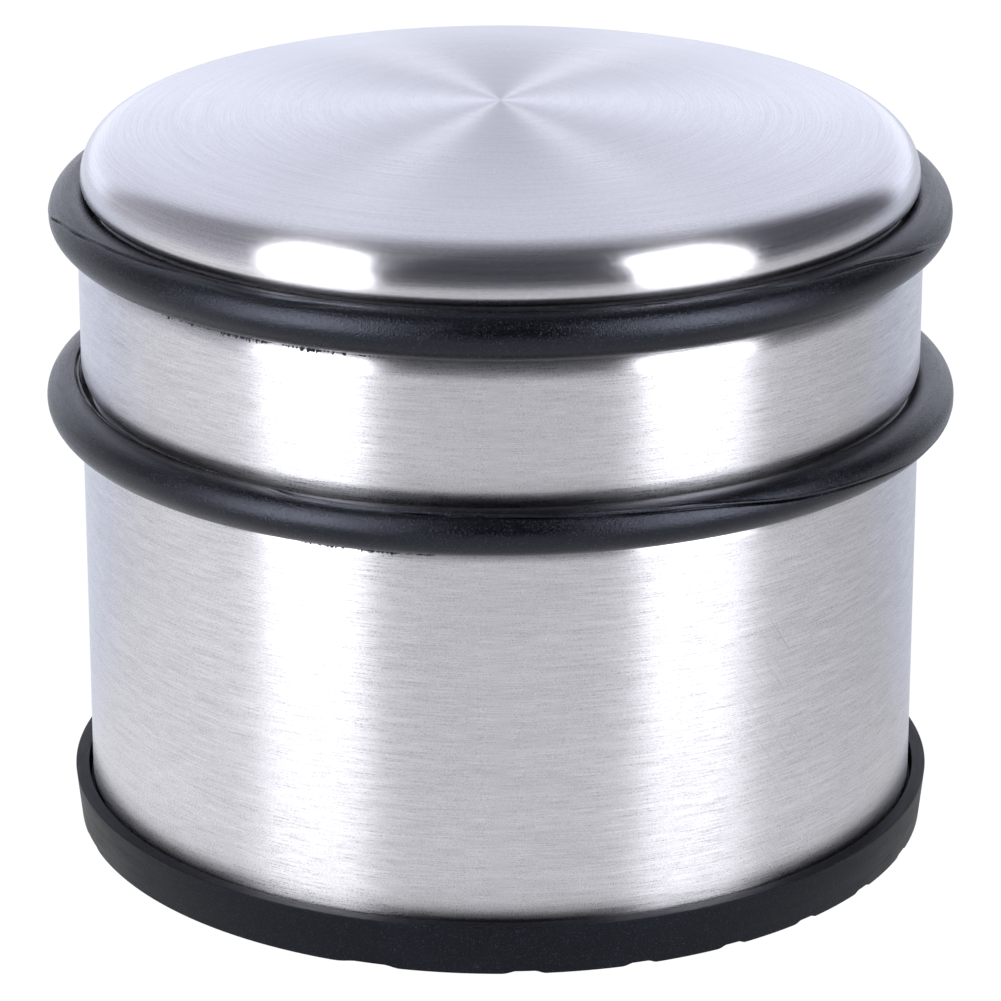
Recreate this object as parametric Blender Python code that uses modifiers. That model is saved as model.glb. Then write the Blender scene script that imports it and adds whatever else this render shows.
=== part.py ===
"""Weighted door stop: a brushed steel shell cast full of concrete, with two rubber rings round
it and a rubber base screwed under it.

Metres, +Z up. The origin is the centre of the underside, on the surface that the door stop
stands on. Profiles are lists of (radius, height) points, turned about the Z axis.
"""

import math

import bmesh
import bpy
from mathutils import Matrix, Vector

MM = 0.001

# ---- Overall ----
OVERALL_HEIGHT = 82.5 * MM
SHELL_RADIUS = 46.5 * MM         # outside of the straight wall
ROUND_STEPS = 48                 # facets round the large turned pieces
SMALL_ROUND_STEPS = 24           # facets round screws, washers and holes

# ---- Fits ----
SEAT_GAP = 0.3 * MM              # between two pieces that touch
SCREW_CLEARANCE = 0.3 * MM       # round a screw's shank, on the radius

# ---- Steel shell ----
SHELL_WALL = 0.6 * MM
CAP_SETBACK = 0.46 * MM          # the cap is this much smaller in radius than the wall
SHOULDER_RADIUS = 5.14 * MM      # round edge of the domed cap
CAP_ROLL_RADIUS = 1.4 * MM       # where the cap rolls into the upper groove
WALL_ROLL_RADIUS = 4.0 * MM      # where the wall rolls into a groove
CAP_LAND = 0.05 * MM             # straight stretch between the shoulder and its roll
RIM_CORNER_RADIUS = 1.2 * MM
RIM_WIDTH = 6.0 * MM             # how far the rim is turned in under the closing plate
DOME_STEPS = 4
SHOULDER_STEPS = 5
SEAT_STEPS = 4                   # round the seat of a groove
ROLL_STEPS = 2                   # round each small rolled edge

# ---- Bumper rings, as they sit on the shell ----
CAP_HEIGHT = 11.5 * MM           # top of the dome to the middle of the upper ring
RING_SPACING = 21.0 * MM         # middle of one ring to the middle of the other
UPPER_RING_SECTION = 5.3 * MM    # diameter of the rubber's round section
UPPER_RING_PROUD = 3.1 * MM      # how far it stands out from the wall
LOWER_RING_SECTION = 5.0 * MM
LOWER_RING_PROUD = 3.85 * MM
RING_SECTION_STEPS = 12

# ---- Rubber base ----
BASE_FLOOR = 3.8 * MM            # thickness under the shell, with the tread
LIP_RISE = 1.9 * MM              # how far the lip stands above the floor that the shell is on
LIP_CLEARANCE = 0.45 * MM        # between the shell's wall and the lip
LIP_THICKNESS = 1.5 * MM
LIP_EDGE_RADIUS = 0.35 * MM
BASE_TAPER = 0.55 * MM           # the base is this much smaller in radius at the bottom
PAD_CLEARANCE = 0.5 * MM         # between the raised pad and the shell's turned-in rim

# ---- Tread: straight ribs across the underside, square to this direction ----
TREAD_DIRECTION = math.radians(45)
TREAD_PITCH = 10.3 * MM
TREAD_GROOVE_WIDTH = 4.2 * MM
TREAD_GROOVE_DEPTH = 0.4 * MM
TREAD_OFFSET = -1.05 * MM        # the middle groove's place beside the axis

# ---- Closing plate, and the screws that hold the base to it ----
PLATE_THICKNESS = 1.2 * MM
PLATE_CLEARANCE = 0.5 * MM       # between the plate's edge and the inside of the wall
SCREW_COUNT = 3
SCREW_INSET = 10.5 * MM          # from the edge of the shell's turned-in rim to a screw's axis
FIRST_SCREW_ANGLE = math.radians(90)
SCREW_RADIUS = 2.0 * MM          # M4
SCREW_TIP_CHAMFER = 0.4 * MM
SCREW_PAST_NUT = 0.6 * MM
HEAD_RADIUS = 4.0 * MM
HEAD_HEIGHT = 1.7 * MM
HEAD_SUNK = 0.5 * MM             # how far the heads lie above the surface that the tread stands on
HEAD_EDGE = 0.5 * MM
RECESS_LENGTH = 4.4 * MM         # the cross recess in the head
RECESS_WIDTH = 0.9 * MM
RECESS_DEPTH = 1.0 * MM
WASHER_RADIUS = 4.5 * MM
WASHER_THICKNESS = 0.8 * MM
COUNTERBORE_CLEARANCE = 0.5 * MM
NUT_ACROSS_FLATS = 7.0 * MM
NUT_HEIGHT = 3.2 * MM
POCKET_CLEARANCE = 0.6 * MM      # in the ballast, round and above a nut and its screw

# ---- Heights and radii that follow ----
UPPER_RING_Z = OVERALL_HEIGHT - CAP_HEIGHT
LOWER_RING_Z = UPPER_RING_Z - RING_SPACING
CAP_RADIUS = SHELL_RADIUS - CAP_SETBACK
LIP_TOP = BASE_FLOOR + LIP_RISE
SHELL_BOTTOM = BASE_FLOOR + SEAT_GAP
PLATE_BOTTOM = SHELL_BOTTOM + SHELL_WALL + SEAT_GAP
PLATE_TOP = PLATE_BOTTOM + PLATE_THICKNESS
BALLAST_BOTTOM = PLATE_TOP + SEAT_GAP
PAD_TOP = PLATE_BOTTOM - SEAT_GAP
RIM_RADIUS = SHELL_RADIUS - RIM_WIDTH
SCREW_CIRCLE_RADIUS = RIM_RADIUS - SCREW_INSET
HEAD_TOP = HEAD_SUNK + HEAD_HEIGHT
WASHER_BOTTOM = HEAD_TOP + SEAT_GAP
COUNTERBORE_TOP = WASHER_BOTTOM + WASHER_THICKNESS + SEAT_GAP
NUT_BOTTOM = PLATE_TOP + SEAT_GAP
SCREW_LENGTH = NUT_BOTTOM + NUT_HEIGHT + SCREW_PAST_NUT - HEAD_TOP
SCREW_HOLE_RADIUS = SCREW_RADIUS + SCREW_CLEARANCE
CUTTER_OVERRUN = 1.0 * MM        # how far a cutter runs past the face that it opens


# ---- Scene, materials and modelling helpers ----

for old in list(bpy.data.objects):
    bpy.data.objects.remove(old, do_unlink=True)

parts = bpy.data.collections.new("door_stop")
cutters = bpy.data.collections.new("cutters")
bpy.context.scene.collection.children.link(parts)
bpy.context.scene.collection.children.link(cutters)


def material(name, colour, metallic, roughness):
    mat = bpy.data.materials.new(name)
    mat.use_nodes = True
    shader = mat.node_tree.nodes["Principled BSDF"]
    shader.inputs["Base Color"].default_value = (*colour, 1.0)
    shader.inputs["Metallic"].default_value = metallic
    shader.inputs["Roughness"].default_value = roughness
    return mat


BRUSHED_STEEL = material("brushed_steel", (0.62, 0.62, 0.64), 1.0, 0.32)
RING_RUBBER = material("ring_rubber", (0.012, 0.013, 0.015), 0.0, 0.42)
BASE_RUBBER = material("base_rubber", (0.014, 0.015, 0.019), 0.0, 0.6)
CONCRETE = material("concrete", (0.36, 0.35, 0.33), 0.0, 0.95)
ZINC_PLATE = material("zinc_plate", (0.55, 0.57, 0.6), 1.0, 0.38)
ZINC_SCREW = material("zinc_screw", (0.6, 0.61, 0.63), 1.0, 0.3)


def add_object(name, mesh, collection):
    obj = bpy.data.objects.new(name, mesh)
    collection.objects.link(obj)
    return obj


def add_cutter(name, mesh):
    """A guide that only Boolean modifiers use."""
    obj = add_object(name, mesh, cutters)
    obj.hide_render = True
    obj.display_type = "WIRE"
    return obj


def arc(centre, radius, start, end, steps):
    """Points on an arc about centre, from one angle to the other, in degrees."""
    angles = [math.radians(start + (end - start) * i / steps) for i in range(steps + 1)]
    return [(centre[0] + radius * math.cos(a), centre[1] + radius * math.sin(a)) for a in angles]


def turned_mesh(name, profile, steps, closed=False):
    """A profile turned about Z. It is a closed loop, or its ends lie on the axis or stay free."""
    mesh = bpy.data.meshes.new(name + "_profile")
    edges = [(i, i + 1) for i in range(len(profile) - 1)]
    if closed:
        edges.append((len(profile) - 1, 0))
    mesh.from_pydata([(r, 0.0, z) for r, z in profile], edges, [])
    obj = add_object(name + "_profile", mesh, parts)
    screw = obj.modifiers.new("turn", "SCREW")
    screw.axis = "Z"
    screw.steps = steps
    screw.render_steps = steps
    screw.use_merge_vertices = True
    screw.merge_threshold = 0.00001
    return settled_mesh(obj, name)


def settled_mesh(obj, name):
    """The mesh that an object's modifiers give. The object itself is removed."""
    graph = bpy.context.evaluated_depsgraph_get()
    mesh = bpy.data.meshes.new_from_object(obj.evaluated_get(graph))
    mesh.name = name
    bpy.data.objects.remove(obj, do_unlink=True)
    return mesh


def smooth_except_edges(mesh):
    mesh.shade_smooth()
    mesh.set_sharp_from_angle(angle=math.radians(32))


def add_part(name, mesh, mat, location=(0.0, 0.0, 0.0)):
    if not mesh.materials:
        mesh.materials.append(mat)
    smooth_except_edges(mesh)
    obj = add_object(name, mesh, parts)
    obj.location = location
    return obj


def cut(obj, cutter):
    boolean = obj.modifiers.new("cut_" + cutter.name, "BOOLEAN")
    boolean.operation = "DIFFERENCE"
    boolean.solver = "EXACT"
    boolean.object = cutter


def primitive_cylinder_mesh(name, radius, height, steps):
    """A cylinder on the Z axis, from z = 0 up to its height."""
    form = bmesh.new()
    raised = Matrix.Translation((0.0, 0.0, height / 2))
    bmesh.ops.create_cone(form, cap_ends=True, segments=steps, radius1=radius, radius2=radius,
                          depth=height, matrix=raised)
    mesh = bpy.data.meshes.new(name)
    form.to_mesh(mesh)
    form.free()
    return mesh


def box_mesh(name, boxes):
    """One mesh of separate boxes, each given by its size and its centre."""
    form = bmesh.new()
    for size, centre in boxes:
        placed = Matrix.Translation(centre) @ Matrix.Diagonal((*size, 1.0))
        bmesh.ops.create_cube(form, size=1.0, matrix=placed)
    mesh = bpy.data.meshes.new(name)
    form.to_mesh(mesh)
    form.free()
    return mesh


def screw_places(height):
    """The screws' places on their circle, at a height."""
    for i in range(SCREW_COUNT):
        angle = FIRST_SCREW_ANGLE + 2 * math.pi * i / SCREW_COUNT
        across = Vector((math.cos(angle), math.sin(angle), 0.0)) * SCREW_CIRCLE_RADIUS
        yield i + 1, across + Vector((0.0, 0.0, height))


# ---- Steel shell: a drawn cup, mouth down, with a groove rolled in for each ring ----

def ring_centre(proud, section):
    """Radius of the circle that runs through the middle of a ring's section."""
    return SHELL_RADIUS + proud - section / 2


def groove(inset, ring_radius, ring_z, section, radius_above, roll_above):
    """Outline of one groove, top to bottom, with the rolled edges that lead into and out of it.

    The groove is round and fits its ring. The inset moves the outline inwards from the shell's
    outer face, to draw what lies inside the shell.
    """
    seat_radius = section / 2 + SEAT_GAP

    def rolled_edge(wall_radius, roll, side):
        """Centre of the roll that touches both the wall and the seat, and how far it turns."""
        across = ring_radius - wall_radius + roll
        rise = math.sqrt((seat_radius + roll) ** 2 - across ** 2)
        centre = (wall_radius - roll, ring_z + side * rise)
        return centre, math.degrees(math.atan2(rise, across))

    top_centre, top_turn = rolled_edge(radius_above, roll_above, 1)
    low_centre, low_turn = rolled_edge(SHELL_RADIUS, WALL_ROLL_RADIUS, -1)
    points = arc(top_centre, roll_above - inset, 0, -top_turn, ROLL_STEPS)
    seat = arc((ring_radius, ring_z), seat_radius + inset, 180 - top_turn, 180 + low_turn, SEAT_STEPS)
    points += seat[1:-1]
    points += arc(low_centre, WALL_ROLL_RADIUS - inset, low_turn, 0, ROLL_STEPS)
    return points


def shell_outline(inset):
    """Outline of the dome, shoulder and both grooves, from the axis down to the straight wall."""
    upper = groove(inset, ring_centre(UPPER_RING_PROUD, UPPER_RING_SECTION), UPPER_RING_Z,
                   UPPER_RING_SECTION, CAP_RADIUS, CAP_ROLL_RADIUS)
    lower = groove(inset, ring_centre(LOWER_RING_PROUD, LOWER_RING_SECTION), LOWER_RING_Z,
                   LOWER_RING_SECTION, SHELL_RADIUS, WALL_ROLL_RADIUS)
    shoulder = (CAP_RADIUS - SHOULDER_RADIUS, upper[0][1] + CAP_LAND)
    crown = OVERALL_HEIGHT - shoulder[1]
    dome_radius = ((shoulder[0] ** 2 + crown ** 2 - SHOULDER_RADIUS ** 2)
                   / (2 * (crown - SHOULDER_RADIUS)))
    dome_centre = (0.0, OVERALL_HEIGHT - dome_radius)
    join = math.degrees(math.atan2(shoulder[1] - dome_centre[1], shoulder[0]))
    points = arc(dome_centre, dome_radius - inset, 90, join, DOME_STEPS)
    points += arc(shoulder, SHOULDER_RADIUS - inset, join, 0, SHOULDER_STEPS)[1:]
    return points + upper + lower


def add_steel_shell():
    corner = (SHELL_RADIUS - RIM_CORNER_RADIUS, SHELL_BOTTOM + RIM_CORNER_RADIUS)
    profile = shell_outline(0.0)
    profile += arc(corner, RIM_CORNER_RADIUS, 0, -90, ROLL_STEPS)
    profile.append((RIM_RADIUS, SHELL_BOTTOM))
    surface = add_object("shell_surface", turned_mesh("shell_surface", profile, ROUND_STEPS), parts)
    solidify = surface.modifiers.new("wall", "SOLIDIFY")
    solidify.thickness = SHELL_WALL
    solidify.offset = -1.0
    solidify.use_even_offset = True
    add_part("steel_shell", settled_mesh(surface, "steel_shell"), BRUSHED_STEEL)


def add_ballast():
    inset = SHELL_WALL + SEAT_GAP
    profile = shell_outline(inset)
    profile += [(SHELL_RADIUS - inset, BALLAST_BOTTOM), (0.0, BALLAST_BOTTOM)]
    ballast = add_part("concrete_ballast", turned_mesh("concrete_ballast", profile, ROUND_STEPS), CONCRETE)
    pocket_radius = NUT_ACROSS_FLATS / math.sqrt(3) + POCKET_CLEARANCE
    pocket_height = NUT_HEIGHT + SCREW_PAST_NUT + POCKET_CLEARANCE + CUTTER_OVERRUN
    pocket = primitive_cylinder_mesh("nut_pocket", pocket_radius, pocket_height, SMALL_ROUND_STEPS)
    for number, place in screw_places(NUT_BOTTOM - CUTTER_OVERRUN):
        cutter = add_cutter(f"nut_pocket_{number}", pocket)
        cutter.location = place
        cut(ballast, cutter)


# ---- Bumper rings: moulded rubber, stretched into the shell's grooves ----

def add_bumper_ring(name, height, proud, section):
    bpy.ops.mesh.primitive_torus_add(major_segments=ROUND_STEPS, minor_segments=RING_SECTION_STEPS,
                                     major_radius=ring_centre(proud, section),
                                     minor_radius=section / 2)
    torus = bpy.context.object
    mesh = torus.data
    bpy.data.objects.remove(torus, do_unlink=True)
    add_part(name, mesh, RING_RUBBER, (0.0, 0.0, height))


# ---- Rubber base: a dish that the shell stands in, ribbed underneath ----

def add_rubber_base():
    lip_inner = SHELL_RADIUS + LIP_CLEARANCE
    lip_outer = lip_inner + LIP_THICKNESS
    pad_radius = RIM_RADIUS - PAD_CLEARANCE
    edge = LIP_EDGE_RADIUS
    profile = [(0.0, PAD_TOP), (pad_radius, PAD_TOP), (pad_radius, BASE_FLOOR), (lip_inner, BASE_FLOOR)]
    profile += arc((lip_inner + edge, LIP_TOP - edge), edge, 180, 90, ROLL_STEPS)
    profile += arc((lip_outer - edge, LIP_TOP - edge), edge, 90, 0, ROLL_STEPS)
    profile += [(lip_outer - BASE_TAPER, 0.0), (0.0, 0.0)]
    base = add_part("rubber_base", turned_mesh("rubber_base", profile, ROUND_STEPS), BASE_RUBBER)

    across = lip_outer - TREAD_GROOVE_WIDTH / 2
    first = math.ceil((-across - TREAD_OFFSET) / TREAD_PITCH)
    last = math.floor((across - TREAD_OFFSET) / TREAD_PITCH)
    strip = (2 * lip_outer + CUTTER_OVERRUN, TREAD_GROOVE_WIDTH, 2 * TREAD_GROOVE_DEPTH)
    strips = [(strip, (0.0, TREAD_OFFSET + i * TREAD_PITCH, 0.0)) for i in range(first, last + 1)]
    tread = add_cutter("tread_grooves", box_mesh("tread_grooves", strips))
    tread.rotation_euler.z = TREAD_DIRECTION - math.pi / 2
    cut(base, tread)

    bore_radius = WASHER_RADIUS + COUNTERBORE_CLEARANCE
    stepped = [(0.0, PAD_TOP + CUTTER_OVERRUN), (SCREW_HOLE_RADIUS, PAD_TOP + CUTTER_OVERRUN),
               (SCREW_HOLE_RADIUS, COUNTERBORE_TOP), (bore_radius, COUNTERBORE_TOP),
               (bore_radius, -CUTTER_OVERRUN), (0.0, -CUTTER_OVERRUN)]
    counterbore = turned_mesh("counterbore", stepped, SMALL_ROUND_STEPS)
    for number, place in screw_places(0.0):
        cutter = add_cutter(f"counterbore_{number}", counterbore)
        cutter.location = place
        cut(base, cutter)


# ---- Closing plate: a steel disc on the shell's turned-in rim, under the ballast ----

def add_closing_plate():
    radius = SHELL_RADIUS - SHELL_WALL - PLATE_CLEARANCE
    disc = primitive_cylinder_mesh("closing_plate", radius, PLATE_THICKNESS, ROUND_STEPS)
    plate = add_part("closing_plate", disc, ZINC_PLATE, (0.0, 0.0, PLATE_BOTTOM))
    hole_height = PLATE_THICKNESS + 2 * CUTTER_OVERRUN
    hole = primitive_cylinder_mesh("plate_hole", SCREW_HOLE_RADIUS, hole_height, SMALL_ROUND_STEPS)
    for number, place in screw_places(PLATE_BOTTOM - CUTTER_OVERRUN):
        cutter = add_cutter(f"plate_hole_{number}", hole)
        cutter.location = place
        cut(plate, cutter)


# ---- Screws, washers and nuts: one mesh of each, used three times ----

def screw_mesh():
    """The origin is on the axis, at the face of the head that bears on the washer."""
    tip = SCREW_RADIUS - SCREW_TIP_CHAMFER
    profile = [(0.0, SCREW_LENGTH), (tip, SCREW_LENGTH), (SCREW_RADIUS, SCREW_LENGTH - SCREW_TIP_CHAMFER),
               (SCREW_RADIUS, 0.0), (HEAD_RADIUS, 0.0), (HEAD_RADIUS, HEAD_EDGE - HEAD_HEIGHT),
               (HEAD_RADIUS - HEAD_EDGE, -HEAD_HEIGHT), (0.0, -HEAD_HEIGHT)]
    blank = add_object("screw_blank", turned_mesh("screw_blank", profile, SMALL_ROUND_STEPS), parts)
    long_bar = (RECESS_LENGTH, RECESS_WIDTH, 2 * RECESS_DEPTH)
    cross_bar = (RECESS_WIDTH, RECESS_LENGTH, 2 * RECESS_DEPTH)
    for number, bar in enumerate((long_bar, cross_bar), 1):
        mesh = box_mesh("recess_bar", [(bar, (0.0, 0.0, -HEAD_HEIGHT))])
        cut(blank, add_cutter(f"recess_bar_{number}", mesh))
    return settled_mesh(blank, "base_screw")


def washer_mesh():
    top = WASHER_THICKNESS
    profile = [(WASHER_RADIUS, top), (WASHER_RADIUS, 0.0), (SCREW_HOLE_RADIUS, 0.0),
               (SCREW_HOLE_RADIUS, top)]
    return turned_mesh("base_washer", profile, SMALL_ROUND_STEPS, closed=True)


def nut_mesh():
    corner_radius = NUT_ACROSS_FLATS / math.sqrt(3)
    blank_mesh = primitive_cylinder_mesh("nut_blank", corner_radius, NUT_HEIGHT, 6)
    blank = add_object("nut_blank", blank_mesh, parts)
    bore_height = NUT_HEIGHT + 2 * CUTTER_OVERRUN
    bore_mesh = primitive_cylinder_mesh("nut_bore", SCREW_HOLE_RADIUS, bore_height, SMALL_ROUND_STEPS)
    bore = add_cutter("nut_bore", bore_mesh)
    bore.location.z = -CUTTER_OVERRUN
    cut(blank, bore)
    return settled_mesh(blank, "plate_nut")


def add_fixings():
    fixings = (("base_screw", screw_mesh(), HEAD_TOP), ("base_washer", washer_mesh(), WASHER_BOTTOM),
               ("plate_nut", nut_mesh(), NUT_BOTTOM))
    for name, mesh, height in fixings:
        for number, place in screw_places(height):
            add_part(f"{name}_{number}", mesh, ZINC_SCREW, place)


add_steel_shell()
add_ballast()
add_bumper_ring("upper_bumper_ring", UPPER_RING_Z, UPPER_RING_PROUD, UPPER_RING_SECTION)
add_bumper_ring("lower_bumper_ring", LOWER_RING_Z, LOWER_RING_PROUD, LOWER_RING_SECTION)
add_closing_plate()
add_rubber_base()
add_fixings()
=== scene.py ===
import math

import bmesh
import bpy
from mathutils import Matrix, Vector, noise


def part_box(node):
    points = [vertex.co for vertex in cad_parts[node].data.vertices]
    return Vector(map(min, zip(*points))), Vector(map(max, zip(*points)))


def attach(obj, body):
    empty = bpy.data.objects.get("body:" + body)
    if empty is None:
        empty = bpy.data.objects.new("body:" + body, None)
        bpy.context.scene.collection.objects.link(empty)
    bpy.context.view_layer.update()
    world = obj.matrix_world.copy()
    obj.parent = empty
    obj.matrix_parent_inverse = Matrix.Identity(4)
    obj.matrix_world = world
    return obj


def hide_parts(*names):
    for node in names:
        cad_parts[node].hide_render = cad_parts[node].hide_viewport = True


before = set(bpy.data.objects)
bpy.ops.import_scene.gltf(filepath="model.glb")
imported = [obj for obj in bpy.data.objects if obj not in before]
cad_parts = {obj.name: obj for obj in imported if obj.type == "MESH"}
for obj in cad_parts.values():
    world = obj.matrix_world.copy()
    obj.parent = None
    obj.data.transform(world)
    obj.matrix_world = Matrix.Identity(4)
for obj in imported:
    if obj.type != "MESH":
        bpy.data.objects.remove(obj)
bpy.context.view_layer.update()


# ---- Steel shell ----
# A cup drawn from 0.6 mm stainless steel, mouth down, with a low dome for a top and a round
# groove rolled in for each rubber ring. It is brushed while it spins, so the marks run round it,
# and its mouth is turned in under the plate that closes it.

MM = 0.001
SHELL_WALL = 0.6 * MM
SEAT_GAP = 0.3 * MM              # between the shell and the rings that sit in it
CAP_SETBACK = 0.46 * MM          # the cap is this much smaller in radius than the wall
SHOULDER_RADIUS = 5.14 * MM      # round edge of the dome
CAP_ROLL = 1.4 * MM              # where the cap rolls into the upper groove
WALL_ROLL = 4.0 * MM             # where the wall rolls into a groove
CAP_LAND = 0.05 * MM
RIM_CORNER = 1.2 * MM
RIM_WIDTH = 6.0 * MM
TURN_STEPS = 288                 # facets round the large turned pieces
DOME_STEPS = 32                  # and along each curve of the shell's outline
SHOULDER_STEPS = 24
SEAT_STEPS = 20
ROLL_STEPS = 12
RIM_STEPS = 8
WELD_DISTANCE = 0.002 * MM       # points of a turned piece that lie this close are one
SHARP_CORNER = math.radians(32)  # a corner that turns more than this stays sharp

shell_low, shell_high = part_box("steel_shell")
shell_radius = shell_high.x
shell_top = shell_high.z
shell_bottom = shell_low.z
cap_radius = shell_radius - CAP_SETBACK


def ring_place(node):
    """Radius and height of the middle of a ring's round section, and the section's diameter."""
    low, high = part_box(node)
    section = high.z - low.z
    return high.x - section / 2, (low.z + high.z) / 2, section


def arc(centre, radius, start, end, steps):
    """Points on an arc about centre, from one angle to the other, in degrees."""
    angles = [math.radians(start + (end - start) * i / steps) for i in range(steps + 1)]
    return [(centre[0] + radius * math.cos(a), centre[1] + radius * math.sin(a)) for a in angles]


def rolled_groove(ring, radius_above, roll_above):
    """Outline of one groove, top to bottom, with the rolled edges that lead into and out of it."""
    ring_radius, ring_height, section = ring
    seat = section / 2 + SEAT_GAP

    def rolled_edge(wall_radius, roll, side):
        across = ring_radius - wall_radius + roll
        rise = math.sqrt((seat + roll) ** 2 - across ** 2)
        return (wall_radius - roll, ring_height + side * rise), math.degrees(math.atan2(rise, across))

    top, top_turn = rolled_edge(radius_above, roll_above, 1)
    low, low_turn = rolled_edge(shell_radius, WALL_ROLL, -1)
    points = arc(top, roll_above, 0, -top_turn, ROLL_STEPS)
    points += arc((ring_radius, ring_height), seat, 180 - top_turn, 180 + low_turn, SEAT_STEPS)[1:-1]
    return points + arc(low, WALL_ROLL, low_turn, 0, ROLL_STEPS)


def shell_outline():
    """Outer face of the shell from the middle of the dome down to the turned-in rim."""
    upper = rolled_groove(ring_place("upper_bumper_ring"), cap_radius, CAP_ROLL)
    lower = rolled_groove(ring_place("lower_bumper_ring"), shell_radius, WALL_ROLL)
    shoulder = (cap_radius - SHOULDER_RADIUS, upper[0][1] + CAP_LAND)
    crown = shell_top - shoulder[1]
    dome_radius = ((shoulder[0] ** 2 + crown ** 2 - SHOULDER_RADIUS ** 2)
                   / (2 * (crown - SHOULDER_RADIUS)))
    dome_centre = (0.0, shell_top - dome_radius)
    join = math.degrees(math.atan2(shoulder[1] - dome_centre[1], shoulder[0]))
    points = arc(dome_centre, dome_radius, 90, join, DOME_STEPS)
    points += arc(shoulder, SHOULDER_RADIUS, join, 0, SHOULDER_STEPS)[1:]
    corner = (shell_radius - RIM_CORNER, shell_bottom + RIM_CORNER)
    rim = arc(corner, RIM_CORNER, 0, -90, RIM_STEPS)
    return points + upper + lower + rim + [(shell_radius - RIM_WIDTH, shell_bottom)]


def settled_mesh(obj):
    """The mesh that an object's modifiers give. The object itself is removed."""
    graph = bpy.context.evaluated_depsgraph_get()
    mesh = bpy.data.meshes.new_from_object(obj.evaluated_get(graph))
    bpy.data.objects.remove(obj, do_unlink=True)
    return mesh


def add_object(name, mesh):
    obj = bpy.data.objects.new(name, mesh)
    bpy.context.scene.collection.objects.link(obj)
    return obj


def turned_object(name, profile, steps, closed=False):
    """A profile of (radius, height) points turned about Z, top to bottom down its outer side."""
    mesh = bpy.data.meshes.new(name)
    edges = [(i, i + 1) for i in range(len(profile) - 1)]
    if closed:
        edges.append((len(profile) - 1, 0))
    mesh.from_pydata([(r, 0.0, z) for r, z in profile], edges, [])
    obj = add_object(name + "_turning", mesh)
    screw = obj.modifiers.new("turn", "SCREW")
    screw.axis = "Z"
    screw.steps = steps
    screw.render_steps = steps
    screw.use_merge_vertices = True
    screw.merge_threshold = WELD_DISTANCE
    return add_object(name, settled_mesh(obj))


def smooth_round(mesh):
    """Shades the round faces smooth and keeps the real corners sharp."""
    mesh.shade_smooth()
    mesh.set_sharp_from_angle(angle=SHARP_CORNER)


def fit_piece(obj, finish, material_slot, *nodes):
    """Gives a piece its finish, and puts it in the place of its plain nodes."""
    obj.data.materials.clear()
    obj.data.materials.append(finish)
    smooth_round(obj.data)
    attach(obj, "root")
    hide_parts(*nodes)
    return obj


def add_node(tree, kind, inputs, **settings):
    """A shader node. Each input is a plain value, or the output socket that feeds it."""
    made = tree.nodes.new("ShaderNode" + kind)
    for name, value in settings.items():
        setattr(made, name, value)
    for socket, value in inputs.items():
        if isinstance(value, bpy.types.NodeSocket):
            tree.links.new(value, made.inputs[socket])
        else:
            made.inputs[socket].default_value = value
    return made


def maths(tree, operation, first, second=0.0, third=0.0):
    made = add_node(tree, "Math", {0: first, 1: second, 2: third}, operation=operation)
    return made.outputs[0]


def remap(tree, value, low, high, new_low=0.0, new_high=1.0, smooth=False):
    """Carries a value from one range into another, and holds it within that."""
    kind = "SMOOTHSTEP" if smooth else "LINEAR"
    inputs = {"Value": value, "From Min": low, "From Max": high, "To Min": new_low, "To Max": new_high}
    return add_node(tree, "MapRange", inputs, interpolation_type=kind).outputs[0]


def blend_values(tree, share, first, second):
    return add_node(tree, "Mix", {0: share, 2: first, 3: second}, data_type="FLOAT").outputs[0]


def blend_colours(tree, share, first, second):
    made = add_node(tree, "Mix", {0: share, 6: first, 7: second}, data_type="RGBA")
    return made.outputs[2]


def noise_value(tree, place, scale, detail, roughness=0.5):
    inputs = {"Vector": place, "Scale": scale, "Detail": detail, "Roughness": roughness}
    return add_node(tree, "TexNoise", inputs, noise_dimensions="3D").outputs[0]


def new_group(name, inputs, outputs):
    """A node group with named value inputs and outputs, and a vector input for the place."""
    group = bpy.data.node_groups.new(name, "ShaderNodeTree")
    group.interface.new_socket("Place", in_out="INPUT", socket_type="NodeSocketVector")
    for socket_name, value in inputs.items():
        socket = group.interface.new_socket(socket_name, in_out="INPUT", socket_type="NodeSocketFloat")
        socket.default_value = value
    for socket_name in outputs:
        group.interface.new_socket(socket_name, in_out="OUTPUT", socket_type="NodeSocketFloat")
    return group, group.nodes.new("NodeGroupInput").outputs, group.nodes.new("NodeGroupOutput").inputs


def use_group(tree, group, inputs):
    made = tree.nodes.new("ShaderNodeGroup")
    made.node_tree = group
    for socket, value in inputs.items():
        if isinstance(value, bpy.types.NodeSocket):
            tree.links.new(value, made.inputs[socket])
        else:
            made.inputs[socket].default_value = value
    return made.outputs


BAND_LENGTH = 4.0                # a band is this many strokes long
BAND_WIDTH = 6.25                # and this many wide


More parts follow.
